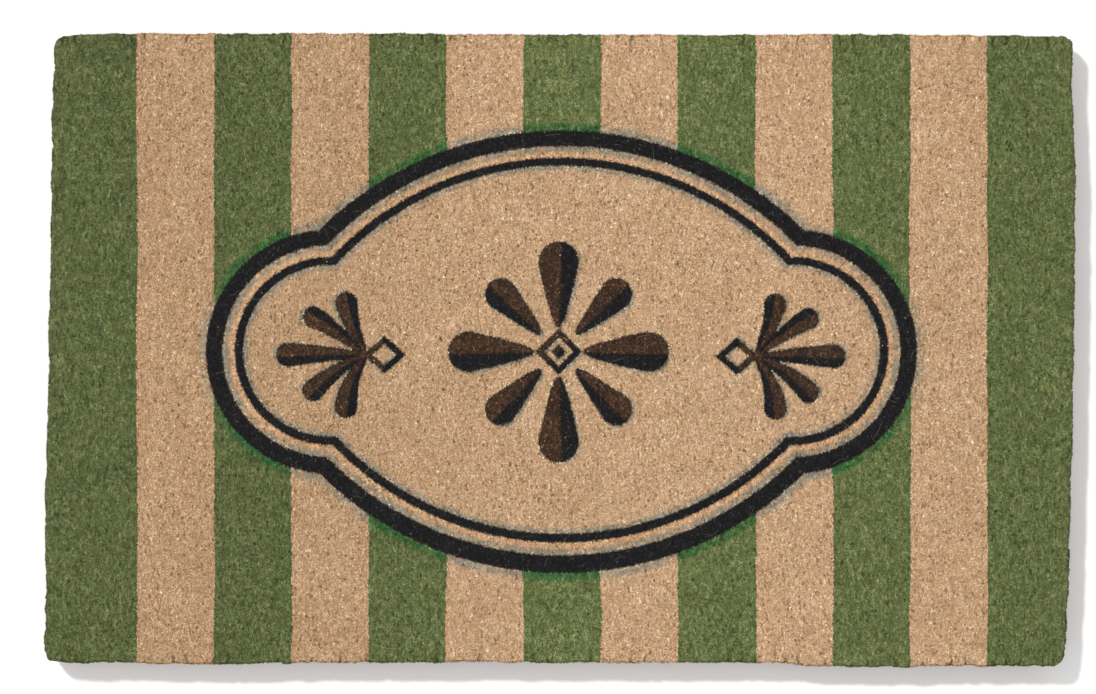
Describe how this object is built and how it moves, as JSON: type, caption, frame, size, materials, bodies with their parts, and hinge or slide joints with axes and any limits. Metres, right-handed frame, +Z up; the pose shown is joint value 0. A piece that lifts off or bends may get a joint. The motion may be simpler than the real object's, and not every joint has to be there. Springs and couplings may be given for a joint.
{
  "type": "door mat",
  "caption": "Thick rectangular hand-woven coir door mat with green and natural stripes, a printed dark medallion, upright brush pile and lashed braided edges.",
  "frame": {"origin": "centre of the mat's underside, on the surface that it lies on", "axes": "+X along the length, across the stripes; +Y along the stripes, towards the back edge; +Z up through the pile"},
  "size_m": [0.9144, 0.5588, 0.038],
  "materials": {
    "green_pile": "matt cut coir brush, dyed green",
    "natural_pile": "matt cut coir brush, undyed, printed with black and brown ink",
    "weave_yarn": "matt twisted coir yarn",
    "edge_braid": "matt plaited coir",
    "lashing_twine": "matt twisted twine"
  },
  "bodies": {
    "root": {"edge_braid_back": "edge_braid", "edge_braid_front": "edge_braid", "edge_braid_left": "edge_braid", "edge_braid_right": "edge_braid", "lashing_back": "lashing_twine", "lashing_front": "lashing_twine", "lashing_left": "lashing_twine", "lashing_right": "lashing_twine", "pile_green_1": "green_pile", "pile_green_2": "green_pile", "pile_green_3": "green_pile", "pile_green_4": "green_pile", "pile_green_5": "green_pile", "pile_green_6": "green_pile", "pile_green_7": "green_pile", "pile_natural_1": "natural_pile", "pile_natural_2": "natural_pile", "pile_natural_3": "natural_pile", "pile_natural_4": "natural_pile", "pile_natural_5": "natural_pile", "pile_natural_6": "natural_pile", "warp_yarn_01": "weave_yarn", "warp_yarn_02": "weave_yarn", "warp_yarn_03": "weave_yarn", "warp_yarn_04": "weave_yarn", "warp_yarn_05": "weave_yarn", "warp_yarn_06": "weave_yarn", "warp_yarn_07": "weave_yarn", "warp_yarn_08": "weave_yarn", "warp_yarn_09": "weave_yarn", "warp_yarn_10": "weave_yarn", "warp_yarn_11": "weave_yarn", "warp_yarn_12": "weave_yarn", "warp_yarn_13": "weave_yarn", "warp_yarn_14": "weave_yarn", "warp_yarn_15": "weave_yarn", "warp_yarn_16": "weave_yarn", "warp_yarn_17": "weave_yarn", "warp_yarn_18": "weave_yarn", "warp_yarn_19": "weave_yarn", "warp_yarn_20": "weave_yarn", "warp_yarn_21": "weave_yarn", "warp_yarn_22": "weave_yarn", "warp_yarn_23": "weave_yarn", "warp_yarn_24": "weave_yarn", "warp_yarn_25": "weave_yarn", "warp_yarn_26": "weave_yarn", "warp_yarn_27": "weave_yarn", "warp_yarn_28": "weave_yarn", "warp_yarn_29": "weave_yarn", "warp_yarn_30": "weave_yarn", "warp_yarn_31": "weave_yarn", "warp_yarn_32": "weave_yarn", "warp_yarn_33": "weave_yarn", "warp_yarn_34": "weave_yarn", "warp_yarn_35": "weave_yarn", "warp_yarn_36": "weave_yarn", "weft_yarn": "weave_yarn"}
  },
  "joints": []
}
